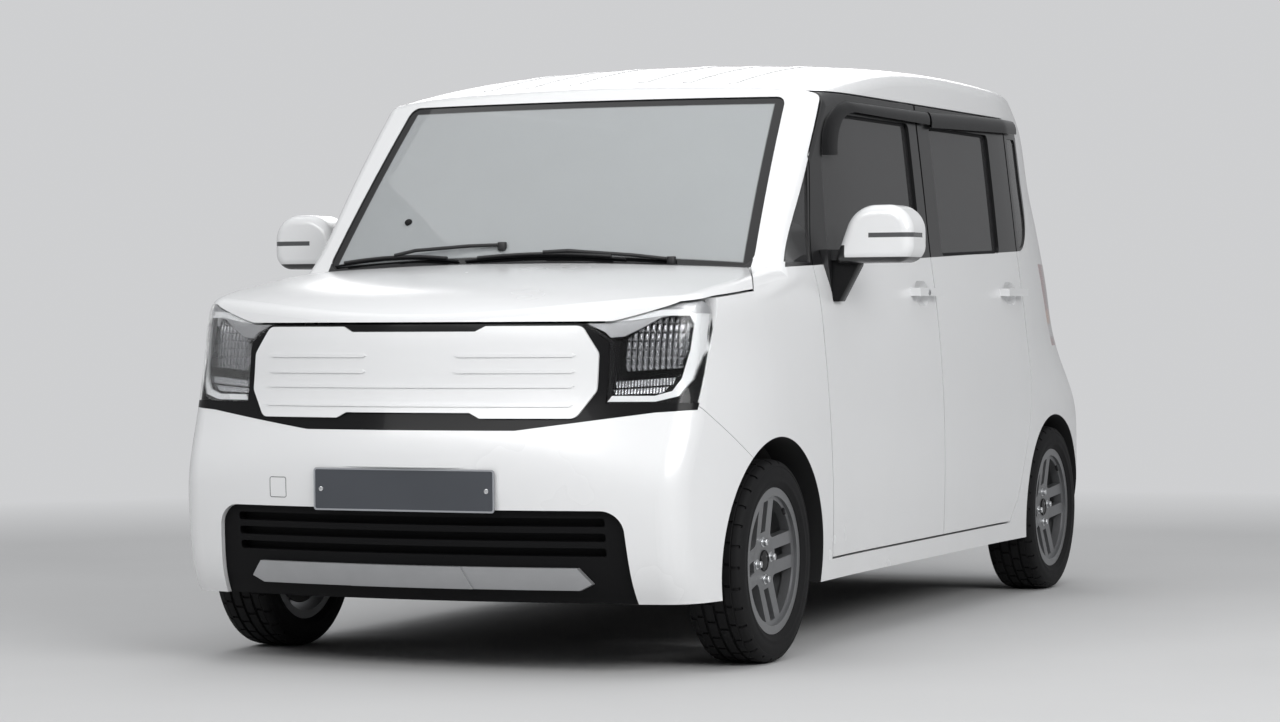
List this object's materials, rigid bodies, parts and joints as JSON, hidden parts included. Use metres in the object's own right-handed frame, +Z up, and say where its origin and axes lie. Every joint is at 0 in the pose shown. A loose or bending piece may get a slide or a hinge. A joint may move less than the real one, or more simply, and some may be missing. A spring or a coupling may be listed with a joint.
{
  "type": "kei car",
  "caption": "White tall-boxy five-door mini car with opening doors, hood and tailgate, steered front wheels and dark rear glass.",
  "frame": {"origin": "on the ground under the middle of the body", "axes": "+Z up, the nose points along -Y, the car's left side along +X"},
  "size_m": [2, 3.596, 1.6959],
  "materials": {
    "body_paint": "gloss",
    "black_gloss": "gloss",
    "lamp_reflector": "polished",
    "clear_glass": "clear",
    "dark_glass": "smoked",
    "black_plastic": "matt",
    "silver_trim": "satin",
    "red_lens": "gloss",
    "underbody_paint": "satin",
    "cast_alloy": "rough",
    "cast_steel": "rough",
    "exhaust_steel": "dull",
    "interior_plastic": "matt",
    "interior_leather": "matt",
    "seat_fabric": "woven",
    "tyre_rubber": "matt",
    "grey_alloy": "satin"
  },
  "bodies": {
    "body": {"cowl_panel": "black_plastic", "dashboard": "interior_plastic", "engine_block": "cast_alloy", "exhaust": "exhaust_steel", "fixed_side_glass": "dark_glass", "floor_pan": "underbody_paint", "front_bumper": "body_paint", "front_fenders": "body_paint", "front_seats": "seat_fabric", "front_suspension": "underbody_paint", "fuel_tank": "black_plastic", "grille_panel": "body_paint", "grille_surround": "black_gloss", "headlamp_lenses": "clear_glass", "headlamps": "lamp_reflector", "headrests": "seat_fabric", "lower_intake": "black_plastic", "rear_axle": "underbody_paint", "rear_bumper": "body_paint", "rear_seat": "seat_fabric", "roof_panel": "body_paint", "seat_frames": "interior_plastic", "side_frame_left": "body_paint", "side_frame_right": "body_paint", "skid_plate": "silver_trim", "sliding_door_right": "body_paint", "tail_lamps": "red_lens", "windshield": "clear_glass"},
    "hood": {"hood": "body_paint"},
    "tailgate": {"tailgate": "body_paint", "tailgate_glass": "dark_glass"},
    "door_front_left": {"front_door_left": "body_paint", "front_door_glass_left": "dark_glass", "mirror_left": "body_paint"},
    "door_rear_left": {"rear_door_left": "body_paint", "rear_door_glass_left": "dark_glass"},
    "door_front_right": {"front_door_right": "body_paint", "front_door_glass_right": "dark_glass", "mirror_right": "body_paint"},
    "knuckle_left": {"knuckle_left": "cast_steel"},
    "knuckle_right": {"knuckle_right": "cast_steel"},
    "wheel_front_left": {"tyre_front_left": "tyre_rubber", "rim_front_left": "grey_alloy"},
    "wheel_front_right": {"tyre_front_right": "tyre_rubber", "rim_front_right": "grey_alloy"},
    "wheel_rear_left": {"tyre_rear_left": "tyre_rubber", "rim_rear_left": "grey_alloy"},
    "wheel_rear_right": {"tyre_rear_right": "tyre_rubber", "rim_rear_right": "grey_alloy"},
    "steering_wheel": {"steering_wheel": "interior_leather"}
  },
  "joints": [
    {"name": "front_door_left_hinge", "type": "hinge", "parent": "body", "child": "door_front_left", "pos_m": [0.795, -0.761, 0.65], "axis": [0, 0, -1], "range_deg": [0, 65]},
    {"name": "rear_door_left_hinge", "type": "hinge", "parent": "body", "child": "door_rear_left", "pos_m": [0.786, 0.2375, 0.65], "axis": [0, 0, -1], "range_deg": [0, 70]},
    {"name": "front_door_right_hinge", "type": "hinge", "parent": "body", "child": "door_front_right", "pos_m": [-0.795, -0.761, 0.65], "axis": [0, 0, 1], "range_deg": [0, 65]},
    {"name": "hood_hinge", "type": "hinge", "parent": "body", "child": "hood", "pos_m": [0, -1.015, 1.078], "axis": [-1, 0, 0], "range_deg": [0, 50]},
    {"name": "tailgate_hinge", "type": "hinge", "parent": "body", "child": "tailgate", "pos_m": [0, 1.556, 1.672], "axis": [1, 0, 0], "range_deg": [0, 80]},
    {"name": "steer_left", "type": "hinge", "parent": "body", "child": "knuckle_left", "pos_m": [0.63, -1.1625, 0.17], "axis": [-0.1426, 0, 0.9898], "range_deg": [-31, 31]},
    {"name": "steer_right", "type": "hinge", "parent": "body", "child": "knuckle_right", "pos_m": [-0.63, -1.1625, 0.17], "axis": [0.1426, 0, 0.9898], "range_deg": [-31, 31]},
    {"name": "steering_column", "type": "hinge", "parent": "body", "child": "steering_wheel", "pos_m": [0.35, -0.52, 0.94], "axis": [0, 0.8988, 0.4384], "range_deg": [-465, 465]},
    {"name": "spin_front_left", "type": "hinge", "parent": "knuckle_left", "child": "wheel_front_left", "pos_m": [0.703, -1.1625, 0.27], "axis": [1, 0, 0], "continuous": true},
    {"name": "spin_front_right", "type": "hinge", "parent": "knuckle_right", "child": "wheel_front_right", "pos_m": [-0.703, -1.1625, 0.27], "axis": [1, 0, 0], "continuous": true},
    {"name": "spin_rear_left", "type": "hinge", "parent": "body", "child": "wheel_rear_left", "pos_m": [0.71, 1.3575, 0.27], "axis": [1, 0, 0], "continuous": true},
    {"name": "spin_rear_right", "type": "hinge", "parent": "body", "child": "wheel_rear_right", "pos_m": [-0.71, 1.3575, 0.27], "axis": [1, 0, 0], "continuous": true}
  ],
  "couplings": [
    {"joint": "steer_right", "follows": "steer_left", "ratio": 1},
    {"joint": "steering_column", "follows": "steer_left", "ratio": 15}
  ]
}
